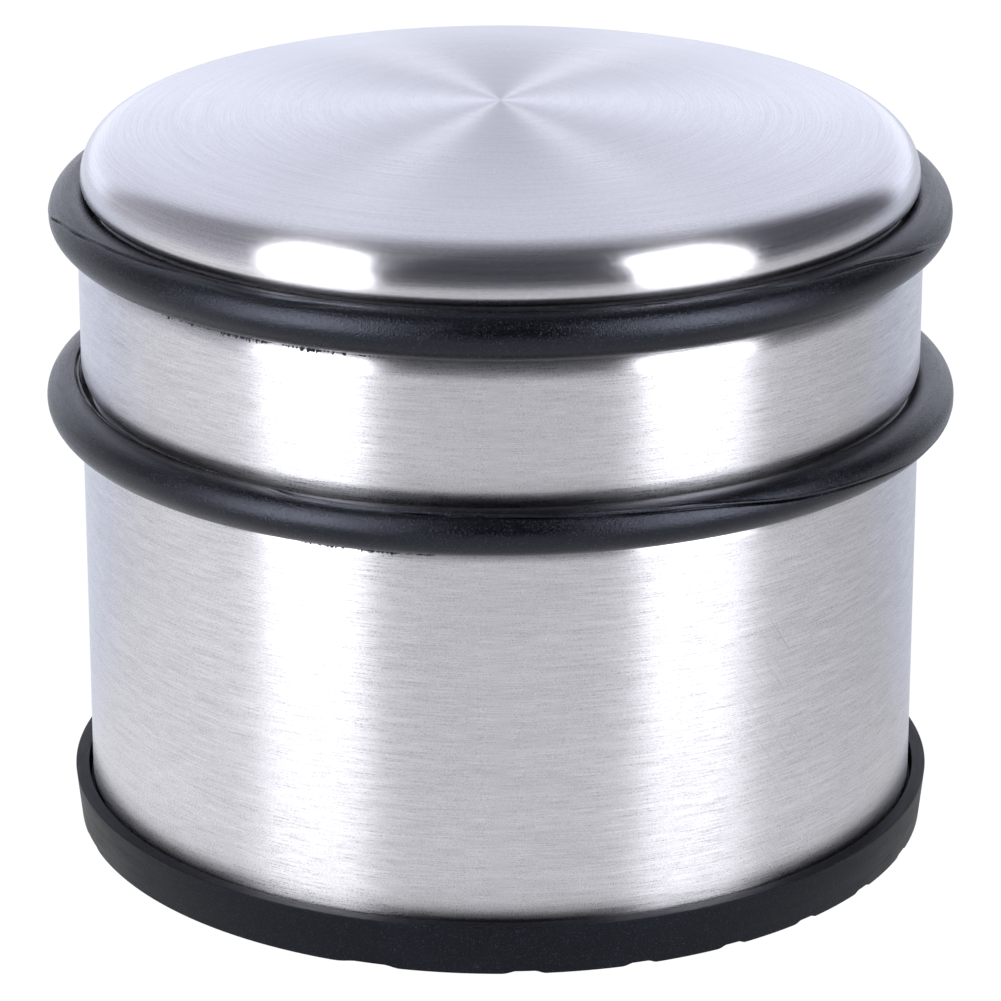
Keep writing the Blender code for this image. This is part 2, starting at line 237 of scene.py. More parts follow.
def turned_marks_group():
    """Marks round the Z axis: single strokes, the broader bands that they make up, and grain."""
    inputs = {"Strokes Round": 12.0, "Stroke Width": 0.2 * MM, "Grain Size": 0.1 * MM}
    group, given, result = new_group("turned_marks", inputs, ["Strokes", "Bands", "Grain"])
    place = add_node(group, "SeparateXYZ", {0: given["Place"]}).outputs
    squares = maths(group, "ADD", maths(group, "MULTIPLY", place[0], place[0]),
                    maths(group, "MULTIPLY", place[1], place[1]))
    radius = maths(group, "MAXIMUM", maths(group, "SQRT", squares), 0.00001)
    around = given["Strokes Round"]
    along_x = maths(group, "MULTIPLY", maths(group, "DIVIDE", place[0], radius), around)
    along_y = maths(group, "MULTIPLY", maths(group, "DIVIDE", place[1], radius), around)
    across = maths(group, "DIVIDE", maths(group, "SUBTRACT", radius, place[2]), given["Stroke Width"])
    fine = add_node(group, "CombineXYZ", {0: along_x, 1: along_y, 2: across}).outputs[0]
    group.links.new(noise_value(group, fine, 1.0, 2.0, 0.6), result["Strokes"])
    broad = add_node(group, "CombineXYZ", {0: maths(group, "DIVIDE", along_x, BAND_LENGTH),
                                           1: maths(group, "DIVIDE", along_y, BAND_LENGTH),
                                           2: maths(group, "DIVIDE", across, BAND_WIDTH)}).outputs[0]
    group.links.new(noise_value(group, broad, 1.0, 3.0, 0.55), result["Bands"])
    grains = maths(group, "DIVIDE", 1.0, given["Grain Size"])
    group.links.new(noise_value(group, given["Place"], grains, 1.0), result["Grain"])
    return group


turned_marks = turned_marks_group()


def object_place(tree):
    return add_node(tree, "TexCoord", {}).outputs["Object"]


SCRATCH_BEARING = math.radians(-90 + 38)
SCRATCH_HEIGHT = 25.0 * MM
SCRATCH_LEAN = math.radians(-56)
SCRATCHES_ALONG = 90.0           # scratches to the metre, end to end
SCRATCHES_ACROSS = 5200.0        # and side by side
PATCH_FULL = 2.0 * MM            # the patch fades from here
PATCH_END = 6.0 * MM             # to here, to either side
PATCH_TALL = 0.05                # and is taller than it is wide: height counts this little


def slanted_scratches(tree, place):
    """A patch of fine handling scratches across the brushing, round one place on the wall."""
    parts = add_node(tree, "SeparateXYZ", {0: place}).outputs
    turn = maths(tree, "SUBTRACT", maths(tree, "ARCTAN2", parts[1], parts[0]), SCRATCH_BEARING)
    aside = maths(tree, "MULTIPLY", turn, shell_radius)
    above = maths(tree, "SUBTRACT", parts[2], SCRATCH_HEIGHT)
    along = maths(tree, "ADD", maths(tree, "MULTIPLY", aside, math.cos(SCRATCH_LEAN)),
                  maths(tree, "MULTIPLY", above, math.sin(SCRATCH_LEAN)))
    across = maths(tree, "SUBTRACT", maths(tree, "MULTIPLY", above, math.cos(SCRATCH_LEAN)),
                   maths(tree, "MULTIPLY", aside, math.sin(SCRATCH_LEAN)))
    stretched = add_node(tree, "CombineXYZ", {0: maths(tree, "MULTIPLY", along, SCRATCHES_ALONG),
                                              1: maths(tree, "MULTIPLY", across, SCRATCHES_ACROSS)})
    lines = remap(tree, noise_value(tree, stretched.outputs[0], 1.0, 1.0), 0.62, 0.70)
    height_share = maths(tree, "MULTIPLY", maths(tree, "MULTIPLY", above, above), PATCH_TALL)
    reach = maths(tree, "SQRT", maths(tree, "ADD", maths(tree, "MULTIPLY", aside, aside), height_share))
    return maths(tree, "MULTIPLY", lines, remap(tree, reach, PATCH_FULL, PATCH_END, 1.0, 0.0, smooth=True))


STEEL_LOW = (0.40, 0.395, 0.425, 1.0)        # down in the brushing marks
STEEL_HIGH = (0.82, 0.81, 0.87, 1.0)         # on the edges between them
SCRATCH_GREY = (0.42, 0.42, 0.45, 1.0)
BRUSHING_DEPTH = 0.0035 * MM
WALL_SMOOTH = 0.26                           # roughness of the wall, where it is least
WALL_ROUGH = 0.31                            # and where it is most
CAP_MIDDLE_MORE = 0.025                      # the cap's middle is rougher than the wall
CAP_EDGE_MORE = -0.065                       # and its shoulder smoother
CAP_MIDDLE = 10.0 * MM
CAP_EDGE = 42.0 * MM


def brushed_steel():
    material = bpy.data.materials.new("brushed_steel")
    material.use_nodes = True
    tree = material.node_tree
    shader = tree.nodes["Principled BSDF"]
    place = object_place(tree)
    wall = use_group(tree, turned_marks, {"Place": place, "Strokes Round": 13.0, "Stroke Width": 0.12 * MM})
    cap = use_group(tree, turned_marks, {"Place": place, "Strokes Round": 3.5, "Stroke Width": 0.14 * MM})
    height = add_node(tree, "SeparateXYZ", {0: place}).outputs[2]
    groove_height = ring_place("upper_bumper_ring")[1]
    on_cap = maths(tree, "GREATER_THAN", height, groove_height)
    strokes = blend_values(tree, on_cap, wall["Strokes"], cap["Strokes"])
    bands = blend_values(tree, on_cap, wall["Bands"], cap["Bands"])
    grain = wall["Grain"]
    scratches = slanted_scratches(tree, place)
    smears = noise_value(tree, place, 60.0, 3.0)

    marks = maths(tree, "ADD", maths(tree, "MULTIPLY", strokes, 0.38), maths(tree, "MULTIPLY", bands, 0.12))
    marks = blend_values(tree, maths(tree, "MULTIPLY", on_cap, 0.35), marks, 0.25)
    tone = maths(tree, "ADD", marks, maths(tree, "MULTIPLY", grain, 0.5))
    shade = remap(tree, tone, 0.345, 0.655, 0.08, 1.0)
    shade = blend_values(tree, maths(tree, "MULTIPLY", on_cap, 0.25), shade, 0.5)
    steel = blend_colours(tree, shade, STEEL_LOW, STEEL_HIGH)
    scratched = blend_colours(tree, maths(tree, "MULTIPLY", scratches, 0.6), steel, SCRATCH_GREY)
    tree.links.new(scratched, shader.inputs["Base Color"])
    shader.inputs["Metallic"].default_value = 1.0
    fine_wear = maths(tree, "ADD", maths(tree, "MULTIPLY", strokes, 0.4), maths(tree, "MULTIPLY", grain, 0.4))
    wear = maths(tree, "ADD", fine_wear, maths(tree, "MULTIPLY", smears, 0.2))
    rough = remap(tree, wear, 0.36, 0.64, WALL_SMOOTH, WALL_ROUGH)
    level = add_node(tree, "VectorMath", {0: place, 1: (1.0, 1.0, 0.0)}, operation="MULTIPLY")
    from_middle = add_node(tree, "VectorMath", {0: level.outputs[0]}, operation="LENGTH").outputs["Value"]
    cap_more = remap(tree, from_middle, CAP_MIDDLE, CAP_EDGE, CAP_MIDDLE_MORE, CAP_EDGE_MORE, smooth=True)
    tree.links.new(maths(tree, "ADD", rough, maths(tree, "MULTIPLY", on_cap, cap_more)),
                   shader.inputs["Roughness"])
    shader.inputs["Anisotropic"].default_value = 0.92
    shader.inputs["Anisotropic Rotation"].default_value = 0.25
    tangent = add_node(tree, "Tangent", {}, direction_type="RADIAL", axis="Z")
    tree.links.new(tangent.outputs[0], shader.inputs["Tangent"])
    relief = maths(tree, "SUBTRACT", maths(tree, "ADD", marks, grain), scratches)
    bump = add_node(tree, "Bump", {"Height": relief, "Distance": BRUSHING_DEPTH})
    tree.links.new(bump.outputs[0], shader.inputs["Normal"])
    return material


shell_surface = turned_object("shell_surface", shell_outline(), TURN_STEPS)
shell_wall = shell_surface.modifiers.new("wall", "SOLIDIFY")
shell_wall.thickness = SHELL_WALL
shell_wall.offset = -1.0
shell_wall.use_even_offset = True
shell = add_object("brushed_shell", settled_mesh(shell_surface))
fit_piece(shell, brushed_steel(), "brushed_steel", "steel_shell")


# ---- Concrete ballast ----
# Plain grey concrete, poured into the upturned shell and struck off level under the plate. It
# fills the dome and keys into both grooves. It makes nearly all of the weight.

CEMENT_DARK = (0.24, 0.235, 0.22, 1.0)
CEMENT_LIGHT = (0.40, 0.39, 0.36, 1.0)
SAND_COLOUR = (0.52, 0.50, 0.46, 1.0)
# Near black painted into the pores as the shade inside them.
PORE_SHADE_COLOUR = (0.11, 0.105, 0.10, 1.0)
PORE_DEPTH = 0.3 * MM


def cast_concrete():
    material = bpy.data.materials.new("cast_concrete")
    material.use_nodes = True
    tree = material.node_tree
    shader = tree.nodes["Principled BSDF"]
    place = object_place(tree)
    clouds = noise_value(tree, place, 90.0, 4.0)
    sand = noise_value(tree, place, 1800.0, 2.0)
    pores = add_node(tree, "TexVoronoi", {"Vector": place, "Scale": 420.0}).outputs["Distance"]
    holes = remap(tree, pores, 0.10, 0.22, smooth=True)
    grey = blend_colours(tree, remap(tree, clouds, 0.3, 0.7), CEMENT_DARK, CEMENT_LIGHT)
    speckled = blend_colours(tree, remap(tree, sand, 0.52, 0.7), grey, SAND_COLOUR)
    # The pores are painted near black: painted shade inside the holes.
    pore_shaded = blend_colours(tree, holes, PORE_SHADE_COLOUR, speckled)
    tree.links.new(pore_shaded, shader.inputs["Base Color"])
    tree.links.new(remap(tree, sand, 0.3, 0.7, 0.82, 0.97), shader.inputs["Roughness"])
    relief = maths(tree, "ADD", maths(tree, "MULTIPLY", sand, 0.25), holes)
    bump = add_node(tree, "Bump", {"Height": relief, "Distance": PORE_DEPTH})
    tree.links.new(bump.outputs[0], shader.inputs["Normal"])
    return material


def finish_node(node, finish):
    """Gives a plain node that stays as it is its own finish."""
    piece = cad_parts[node]
    piece.data.materials.clear()
    piece.data.materials.append(finish)


finish_node("concrete_ballast", cast_concrete())


# ---- Closing plate and its nuts ----
# A disc punched from 1.2 mm galvanised sheet. It lies on the shell's turned-in rim and closes it
# under the concrete. Three hexagon nuts are welded to its inner face for the base's screws.

ZINC_RELIEF = 0.02 * MM


def zinc_skin_group():
    """Zinc coating: the patches of its crystals, and the fine marks of handling in it."""
    group, given, result = new_group("zinc_skin", {"Patch Size": 3.0 * MM}, ["Patches", "Marks"])
    patches_to_metre = maths(group, "DIVIDE", 1.0, given["Patch Size"])
    scaled = add_node(group, "VectorMath", {0: given["Place"], 3: patches_to_metre}, operation="SCALE")
    scaled = scaled.outputs[0]
    cells = add_node(group, "TexVoronoi", {"Vector": scaled, "Scale": 1.0, "Randomness": 0.9})
    group.links.new(add_node(group, "SeparateColor", {0: cells.outputs["Color"]}).outputs[0],
                    result["Patches"])
    group.links.new(noise_value(group, scaled, 9.0, 3.0, 0.6), result["Marks"])
    return group


zinc_skin = zinc_skin_group()


def zinc_coating(name, patch_size, dark, light, smooth, rough):
    material = bpy.data.materials.new(name)
    material.use_nodes = True
    tree = material.node_tree
    shader = tree.nodes["Principled BSDF"]
    skin = use_group(tree, zinc_skin, {"Place": object_place(tree), "Patch Size": patch_size})
    mottled = maths(tree, "ADD", maths(tree, "MULTIPLY", skin["Patches"], 0.6),
                    maths(tree, "MULTIPLY", skin["Marks"], 0.4))
    tree.links.new(blend_colours(tree, remap(tree, mottled, 0.2, 0.8), dark, light),
                   shader.inputs["Base Color"])
    shader.inputs["Metallic"].default_value = 1.0
    tree.links.new(remap(tree, mottled, 0.2, 0.8, smooth, rough), shader.inputs["Roughness"])
    bump = add_node(tree, "Bump", {"Height": skin["Marks"], "Distance": ZINC_RELIEF})
    tree.links.new(bump.outputs[0], shader.inputs["Normal"])
    return material


galvanised_sheet = zinc_coating("galvanised_sheet", 4.0 * MM,
                                dark=(0.42, 0.44, 0.47, 1.0), light=(0.62, 0.64, 0.67, 1.0),
                                smooth=0.28, rough=0.46)
zinc_plating = zinc_coating("zinc_plating", 0.9 * MM,
                            dark=(0.52, 0.54, 0.57, 1.0), light=(0.66, 0.67, 0.70, 1.0),
                            smooth=0.22, rough=0.36)
finish_node("closing_plate", galvanised_sheet)
for nut_number in (1, 2, 3):
    finish_node(f"plate_nut_{nut_number}", zinc_plating)


# ---- Bumper rings ----
# Two rings of black rubber, moulded in two halves and stretched into the shell's grooves. The
# mould's parting line stands as a fine crest, which rolls over and under as the ring twists on
# the shell, and crumbs of flash hang on where it was trimmed badly.

CREST_HEIGHT = 0.10 * MM
CREST_WIDTH = math.radians(3.0)
CREASE_DEPTH = 0.24 * MM         # a fine crease runs along the crest's lower side
CREASE_WIDTH = math.radians(2.5)
CREASE_ASIDE = math.radians(-6.2)
FOLD_DEPTH = 0.06 * MM           # each ring has a shallow fold outside the crest
FOLD_WIDTH = math.radians(5)
FOLD_ASIDE = math.radians(-24)
UNEVENNESS = 0.02 * MM           # how far the skin swells and sinks
FLASH_ROOT = 0.08 * MM           # flash grows from this deep in the ring
FLASH_STEPS = 11                 # facets to a degree of flash
RING_STEPS = 480
SECTION_STEPS = 80
NEAR_CREST = 0.22                # rows beside the crest lie at this share of their average distance

# The crest's place round the section, against the bearing from the front: 0 is outermost and 90
# on top, in degrees.
UPPER_CREST = ((-180, 40), (-130, 5), (-86, 4), (-75, 39), (-64, 59), (-50, 78), (-40, 89),
               (-29, 78), (-20, 90), (0, 90), (17, 88), (30, 83), (41, 72), (52, 62), (60, 37),
               (67, 18), (79, -18), (130, -30), (180, 40))
LOWER_CREST = ((-180, 60), (-130, 95), (-85, 114), (-59, 125), (-33, 114), (-25, 82), (24, 47),
               (37, 19), (49, 3), (68, -25), (79, -14), (130, -5), (180, 60))


def crest_turn(crest, bearing):
    """The crest's place at one bearing, in radians, on a smooth curve through the places given."""
    last = len(crest) - 1
    k = max(i for i in range(last) if crest[i][0] <= bearing)
    (start, first), (end, second) = crest[k], crest[k + 1]
    before, after = crest[max(k - 1, 0)], crest[min(k + 2, last)]
    share = (bearing - start) / (end - start)
    slope_in = (second - before[1]) / (end - before[0]) * (end - start)
    slope_out = (after[1] - first) / (after[0] - start) * (end - start)
    turn = (first * (1 + 2 * share) * (1 - share) ** 2 + slope_in * share * (1 - share) ** 2
            + second * (3 - 2 * share) * share ** 2 - slope_out * (1 - share) * share ** 2)
    return math.radians(turn)


def on_ring(ring, bearing, turn, out):
    """A point at a bearing from the front and a turn round the section, out from its middle."""
    ring_radius, ring_height, _ = ring
    across = ring_radius + out * math.cos(turn)
    height = ring_height + out * math.sin(turn)
    return Vector((across * math.sin(bearing), -across * math.cos(bearing), height))


def ring_form(ring, crest, fold, lift, seed):
    """The moulded ring. Its rows follow the crest, and lie closer together beside it.

    The fold runs between two bearings, in degrees. The lift is how far the front sits too high.
    """
    rubber_radius = ring[2] / 2
    form = bmesh.new()
    parting = form.verts.layers.float.new("parting")
    loops = []
    for i in range(RING_STEPS):
        bearing = 2 * math.pi * i / RING_STEPS - math.pi
        centre = crest_turn(crest, math.degrees(bearing))
        spot = Vector((math.cos(bearing), math.sin(bearing), seed))
        worn = 0.65 + 0.5 * noise.noise(spot * 14.0)
        torn = max(0.15, 0.80 + noise.noise(spot * 9.0 + Vector((0, 0, 4))))
        from_fold = abs(math.degrees(bearing) - sum(fold) / 2) / (fold[1] - fold[0])
        folded = min(1.0, max(0.0, 1.5 - 3 * from_fold))
        lifted = lift * (math.cos(bearing) * abs(math.cos(bearing)) + 1.2 * math.sin(2 * bearing))
        loop = []
        for j in range(SECTION_STEPS):
            share = 2 * j / SECTION_STEPS - 1
            spread = NEAR_CREST * abs(share) + (1 - NEAR_CREST) * abs(share) ** 3
            aside = math.pi * math.copysign(spread, share)
            ripple = noise.noise(spot * 3.0 + Vector((0, 0, aside))) * UNEVENNESS
            rise = worn * math.exp(-(aside / CREST_WIDTH) ** 2)
            fall = torn * math.exp(-((aside - CREASE_ASIDE) / CREASE_WIDTH) ** 2)
            out = rubber_radius - UNEVENNESS + ripple + CREST_HEIGHT * rise - CREASE_DEPTH * fall
            out -= FOLD_DEPTH * folded * math.exp(-((aside - FOLD_ASIDE) / FOLD_WIDTH) ** 2)
            outermost = rubber_radius / max(0.5, math.cos(centre + aside))
            point = form.verts.new(on_ring(ring, bearing, centre + aside, min(out, outermost)))
            point.co.z += lifted
            # The parting attribute is high on the crest, which the material paints lighter with wear and a
            # painted highlight, and low in the crease, where it paints shade.
            point[parting] = rise - fall
            loop.append(point)
        loops.append(loop)
    for i, loop in enumerate(loops):
        following = loops[(i + 1) % RING_STEPS]
        for j in range(SECTION_STEPS):
            k = (j + 1) % SECTION_STEPS
            form.faces.new((loop[j], following[j], following[k], loop[k]))
    return form


def add_flash(form, ring, start, end, turn, reach, seed):
    """A ragged fin of flash along the ring, from one bearing to the other.

    Bearings are in degrees from the front. The turn is its place round the section, in degrees.
    """
    steps = int(abs(end - start) * FLASH_STEPS)
    root = math.radians(turn)
    root_depth = ring[2] / 2 - FLASH_ROOT
    rows = []
    for i in range(steps + 1):
        bearing = math.radians(start + (end - start) * i / steps)
        ends = math.sqrt(max(0.0, math.sin(math.pi * i / steps)))
        patch = max(0.15, 0.60 + 1.3 * noise.noise(Vector((bearing * 23.0, seed, 0.0))))
        teeth = max(0.05, 0.42 + 1.5 * noise.noise(Vector((bearing * 260.0, seed, 5.0))))
        whisker = max(0.0, noise.noise(Vector((bearing * 75.0, seed, 2.0))) - 0.28) * 3.5
        height = reach * ends * min(1.0, patch * teeth + whisker)
        lean = 0.14 * noise.noise(Vector((bearing * 90.0, seed, 9.0)))
        drag = height / ring[0] * 2.2 * noise.noise(Vector((bearing * 40.0, seed, 7.0)))
        rows.append([form.verts.new(on_ring(ring, bearing + shift, root + aside, root_depth + out))
                     for shift, aside, out in ((0.0, -0.045, 0.0), (drag, lean, 0.06 * MM + height),
                                               (0.0, 0.045, 0.0))])
    for row, following in zip(rows, rows[1:]):
        for j in range(3):
            k = (j + 1) % 3
            form.faces.new((row[j], following[j], following[k], row[k]))
    form.faces.new(rows[0])
    form.faces.new(reversed(rows[-1]))


def rubber_skin_group():
    """Skin of moulded rubber: cloudy bloom, fine grain, and streaks that run round the piece."""
    inputs = {"Cloud Size": 6.0 * MM, "Grain Size": 0.3 * MM, "Streaks Round": 3.0, "Streak Width": 0.6 * MM}
    group, given, result = new_group("rubber_skin", inputs, ["Clouds", "Grain", "Streaks"])
    clouds = maths(group, "DIVIDE", 1.0, given["Cloud Size"])
    grain = maths(group, "DIVIDE", 1.0, given["Grain Size"])
    group.links.new(noise_value(group, given["Place"], clouds, 4.0, 0.6), result["Clouds"])
    group.links.new(noise_value(group, given["Place"], grain, 2.0, 0.6), result["Grain"])
    streaks = use_group(group, turned_marks, {"Place": given["Place"],
                                              "Strokes Round": given["Streaks Round"],
                                              "Stroke Width": given["Streak Width"]})
    group.links.new(streaks["Strokes"], result["Streaks"])
    return group


rubber_skin = rubber_skin_group()
# Grey for specks and scuffs, and for a painted highlight along the parting crest.
SCUFF_AND_HIGHLIGHT_GREY = (0.048, 0.050, 0.062, 1.0)
# Near black painted into the crease beside the crest, as painted shade.
PAINTED_CREASE_SHADE = (0.001, 0.001, 0.001, 1.0)
RUBBER_TINT = (0.72, 0.78, 1.0, 1.0)


def moulded_rubber(name, black, bloom, sizes, sheen, smooth, rough, relief):
    """Black rubber with a grey bloom. It is smooth where it is clean, and rough where it isn't."""
    material = bpy.data.materials.new(name)
    material.use_nodes = True
    tree = material.node_tree
    shader = tree.nodes["Principled BSDF"]
    skin = use_group(tree, rubber_skin, {"Place": object_place(tree), **sizes})
    dusty = maths(tree, "MULTIPLY", remap(tree, skin["Clouds"], 0.42, 0.72),
                  remap(tree, skin["Streaks"], 0.35, 0.7, 0.4, 1.0))
    grained = maths(tree, "MULTIPLY", maths(tree, "ADD", dusty, 0.4),
                    remap(tree, skin["Grain"], 0.34, 0.66))
    rubbed = blend_colours(tree, grained, black, bloom)
    parting = add_node(tree, "Attribute", {}, attribute_name="parting").outputs["Fac"]
    # Grain peaks show grey specks, and the parting line's crest is lighter: partly scuff wear, partly a
    # painted highlight.
    specks_and_crest_highlight = maths(tree, "ADD", remap(tree, skin["Grain"], 0.60, 0.74, 0.0, 0.55),
                   remap(tree, parting, 0.3, 1.2, 0.0, 0.4))
    scuffed_and_highlit = blend_colours(tree, specks_and_crest_highlight, rubbed, SCUFF_AND_HIGHLIGHT_GREY)
    # The crease beside the crest is painted near black: painted shade in the crease.
    crease_shaded = blend_colours(tree, remap(tree, parting, -0.2, -0.8), scuffed_and_highlit, PAINTED_CREASE_SHADE)
    tree.links.new(crease_shaded, shader.inputs["Base Color"])
    dulled = maths(tree, "ADD", maths(tree, "MULTIPLY", skin["Clouds"], 0.3),
                   maths(tree, "MULTIPLY", skin["Grain"], 0.3))
    worn = maths(tree, "ADD", maths(tree, "MULTIPLY", skin["Streaks"], 0.4), dulled)
    tree.links.new(remap(tree, worn, 0.36, 0.64, smooth, rough), shader.inputs["Roughness"])
    shader.inputs["Specular IOR Level"].default_value = sheen
    shader.inputs["Specular Tint"].default_value = RUBBER_TINT
    surface = maths(tree, "ADD", skin["Grain"], maths(tree, "MULTIPLY", skin["Streaks"], 0.5))
    bump = add_node(tree, "Bump", {"Height": surface, "Distance": relief})
    tree.links.new(bump.outputs[0], shader.inputs["Normal"])
    return material


ring_skin_sizes = {"Cloud Size": 12.0 * MM, "Grain Size": 0.18 * MM,
                   "Streaks Round": 5.0, "Streak Width": 0.7 * MM}
ring_rubber = moulded_rubber("ring_rubber", black=(0.0002, 0.0003, 0.0005, 1.0),
                             bloom=(0.0022, 0.0027, 0.0046, 1.0), sizes=ring_skin_sizes,
                             sheen=0.42, smooth=0.18, rough=0.32, relief=0.05 * MM)
upper_ring = ring_place("upper_bumper_ring")
lower_ring = ring_place("lower_bumper_ring")
upper_form = ring_form(upper_ring, UPPER_CREST, (-45, -16), 0.0, 1.7)
add_flash(upper_form, upper_ring, -50, -14, -74, 0.55 * MM, 3.1)
add_flash(upper_form, upper_ring, -150, -110, -82, 0.30 * MM, 5.3)
add_flash(upper_form, upper_ring, -64, -20, 122, 0.16 * MM, 7.7)
lower_form = ring_form(lower_ring, LOWER_CREST, (-60, -25), 0.1 * MM, 8.2)
add_flash(lower_form, lower_ring, -28, -8, -74, 0.35 * MM, 6.9)
add_flash(lower_form, lower_ring, 120, 165, -82, 0.30 * MM, 2.4)
add_flash(lower_form, lower_ring, -58, 6, 124, 0.16 * MM, 4.6)
for ring_name, ring_shape, ring_node in (("upper_rubber_ring", upper_form, "upper_bumper_ring"),
                                         ("lower_rubber_ring", lower_form, "lower_bumper_ring")):
    ring_mesh = bpy.data.meshes.new(ring_name)
    ring_shape.to_mesh(ring_mesh)
    ring_shape.free()
    fit_piece(add_object(ring_name, ring_mesh), ring_rubber, "ring_rubber", ring_node)


# ---- Rubber base ----
# A dish moulded in harder black rubber. The shell stands in it within a low lip, and a raised pad
# in its middle fills the turned-in rim. Straight ribs across the underside grip the floor.

BASE_FLOOR = 3.8 * MM
LIP_CLEARANCE = 0.45 * MM
LIP_THICKNESS = 1.5 * MM
LIP_EDGE = 0.12 * MM
BASE_TAPER = 0.55 * MM
FOOT_EDGE = 0.25 * MM
INNER_CORNER = 0.3 * MM
LIP_STEPS = 6                    # facets round each edge of the lip
CORNER_STEPS = 5                 # and round the base's other corners
PAD_CLEARANCE = 0.5 * MM
PAD_EDGE = 0.2 * MM
TREAD_DIRECTION = math.radians(45)
TREAD_PITCH = 10.3 * MM
TREAD_GROOVE_WIDTH = 4.2 * MM
TREAD_GROOVE_DEPTH = 0.4 * MM
TREAD_OFFSET = -1.05 * MM
TREAD_FACETS = 16                # across one groove
BORE_CLEARANCE = 0.5 * MM        # round a screw's washer
BORE_CHAMFER = 0.3 * MM          # the bore's mouth is this much wider
BORE_MOUTH = 0.5 * MM            # and this deep
BORE_HOLE = 2.3 * MM             # radius of the screw's own hole
BORE_FACETS = 48
PAST = 1.0 * MM                  # how far a cutter stands out of the rubber

base_low, base_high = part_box("rubber_base")
plate_low, plate_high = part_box("closing_plate")
pad_top = plate_low.z - SEAT_GAP
lip_inner = shell_radius + LIP_CLEARANCE
lip_outer = lip_inner + LIP_THICKNESS
lip_top = base_high.z
screw_places = [(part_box(f"base_screw_{n}")[0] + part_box(f"base_screw_{n}")[1]) / 2 for n in (1, 2, 3)]
washer_low, washer_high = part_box("base_washer_1")
washer_radius = (washer_high.x - washer_low.x) / 2
bore_radius = washer_radius + BORE_CLEARANCE
bore_top = washer_high.z + SEAT_GAP


def base_outline():
    pad_radius = shell_radius - RIM_WIDTH - PAD_CLEARANCE
    foot_radius = lip_outer - BASE_TAPER
    points = [(0.0, pad_top), (pad_radius - PAD_EDGE, pad_top), (pad_radius, pad_top - PAD_EDGE),
              (pad_radius, BASE_FLOOR)]
    corner = (lip_inner - INNER_CORNER, BASE_FLOOR + INNER_CORNER)
    points += arc(corner, INNER_CORNER, -90, 0, CORNER_STEPS)
    points += arc((lip_inner + LIP_EDGE, lip_top - LIP_EDGE), LIP_EDGE, 180, 90, LIP_STEPS)
    points += arc((lip_outer - LIP_EDGE, lip_top - LIP_EDGE), LIP_EDGE, 90, 0, LIP_STEPS)
    points += arc((foot_radius - FOOT_EDGE, FOOT_EDGE), FOOT_EDGE, 0, -90, CORNER_STEPS)
    return points + [(0.0, 0.0)]


def cut_away(obj, cutter):
    boolean = obj.modifiers.new("cut", "BOOLEAN")
    boolean.operation = "DIFFERENCE"
    boolean.solver = "EXACT"
    boolean.object = cutter
    trimmed = add_object(obj.name + "_trimmed", settled_mesh(obj))
    bpy.data.objects.remove(cutter, do_unlink=True)
    return trimmed


def tread_cutter():
    """One body for each groove: a soft hollow that runs straight across the underside."""
    form = bmesh.new()
    reach = lip_outer + PAST
    half = TREAD_GROOVE_WIDTH / 2
    across = lip_outer - half
    first = math.ceil((-across - TREAD_OFFSET) / TREAD_PITCH)
    last = math.floor((across - TREAD_OFFSET) / TREAD_PITCH)
    for i in range(first, last + 1):
        middle = TREAD_OFFSET + i * TREAD_PITCH
        outline = [(middle + half, -PAST), (middle - half, -PAST)]
        for j in range(TREAD_FACETS + 1):
            share = 2 * j / TREAD_FACETS - 1
            rise = min(1.0, 0.8 * (1 + math.cos(math.pi * share)))
            outline.append((middle + share * half, rise * TREAD_GROOVE_DEPTH))
        near = [form.verts.new((-reach, y, z)) for y, z in outline]
        far = [form.verts.new((reach, y, z)) for y, z in outline]
        form.faces.new(near)
        form.faces.new(reversed(far))
        for j in range(len(outline)):
            k = (j + 1) % len(outline)
            form.faces.new((near[k], near[j], far[j], far[k]))
    bmesh.ops.rotate(form, cent=(0, 0, 0), verts=form.verts,
                     matrix=Matrix.Rotation(TREAD_DIRECTION - math.pi / 2, 3, "Z"))
    bmesh.ops.recalc_face_normals(form, faces=form.faces)
    mesh = bpy.data.meshes.new("tread_cutter")
    form.to_mesh(mesh)
    form.free()
    return add_object("tread_cutter", mesh)


base = turned_object("base_blank", base_outline(), TURN_STEPS)
base = cut_away(base, tread_cutter())
chamfer_radius = bore_radius + BORE_CHAMFER
for screw_place in screw_places:
    bore = [(0.0, pad_top + PAST), (BORE_HOLE, pad_top + PAST), (BORE_HOLE, bore_top),
            (bore_radius, bore_top), (bore_radius, BORE_MOUTH), (chamfer_radius, -0.01 * MM),
            (chamfer_radius, -PAST), (0.0, -PAST)]
    bore_cutter = turned_object("bore_cutter", bore, BORE_FACETS)
    bore_cutter.location = (screw_place.x, screw_place.y, 0.0)
    bpy.context.view_layer.update()
    base = cut_away(base, bore_cutter)
base.name = "moulded_base"
base_skin_sizes = {"Cloud Size": 9.0 * MM, "Grain Size": 0.16 * MM,
                   "Streaks Round": 6.0, "Streak Width": 0.9 * MM}
base_rubber = moulded_rubber("base_rubber", black=(0.0006, 0.0009, 0.0016, 1.0),
                             bloom=(0.0045, 0.0054, 0.0092, 1.0), sizes=base_skin_sizes,
                             sheen=0.18, smooth=0.40, rough=0.56, relief=0.03 * MM)
fit_piece(base, base_rubber, "base_rubber", "rubber_base")


# ---- Screws and washers ----
# Three M4 pan-head screws with a cross recess, zinc plated, and a plain washer under each head.
# They lie in the base's counterbores and hold it to the nuts on the closing plate.

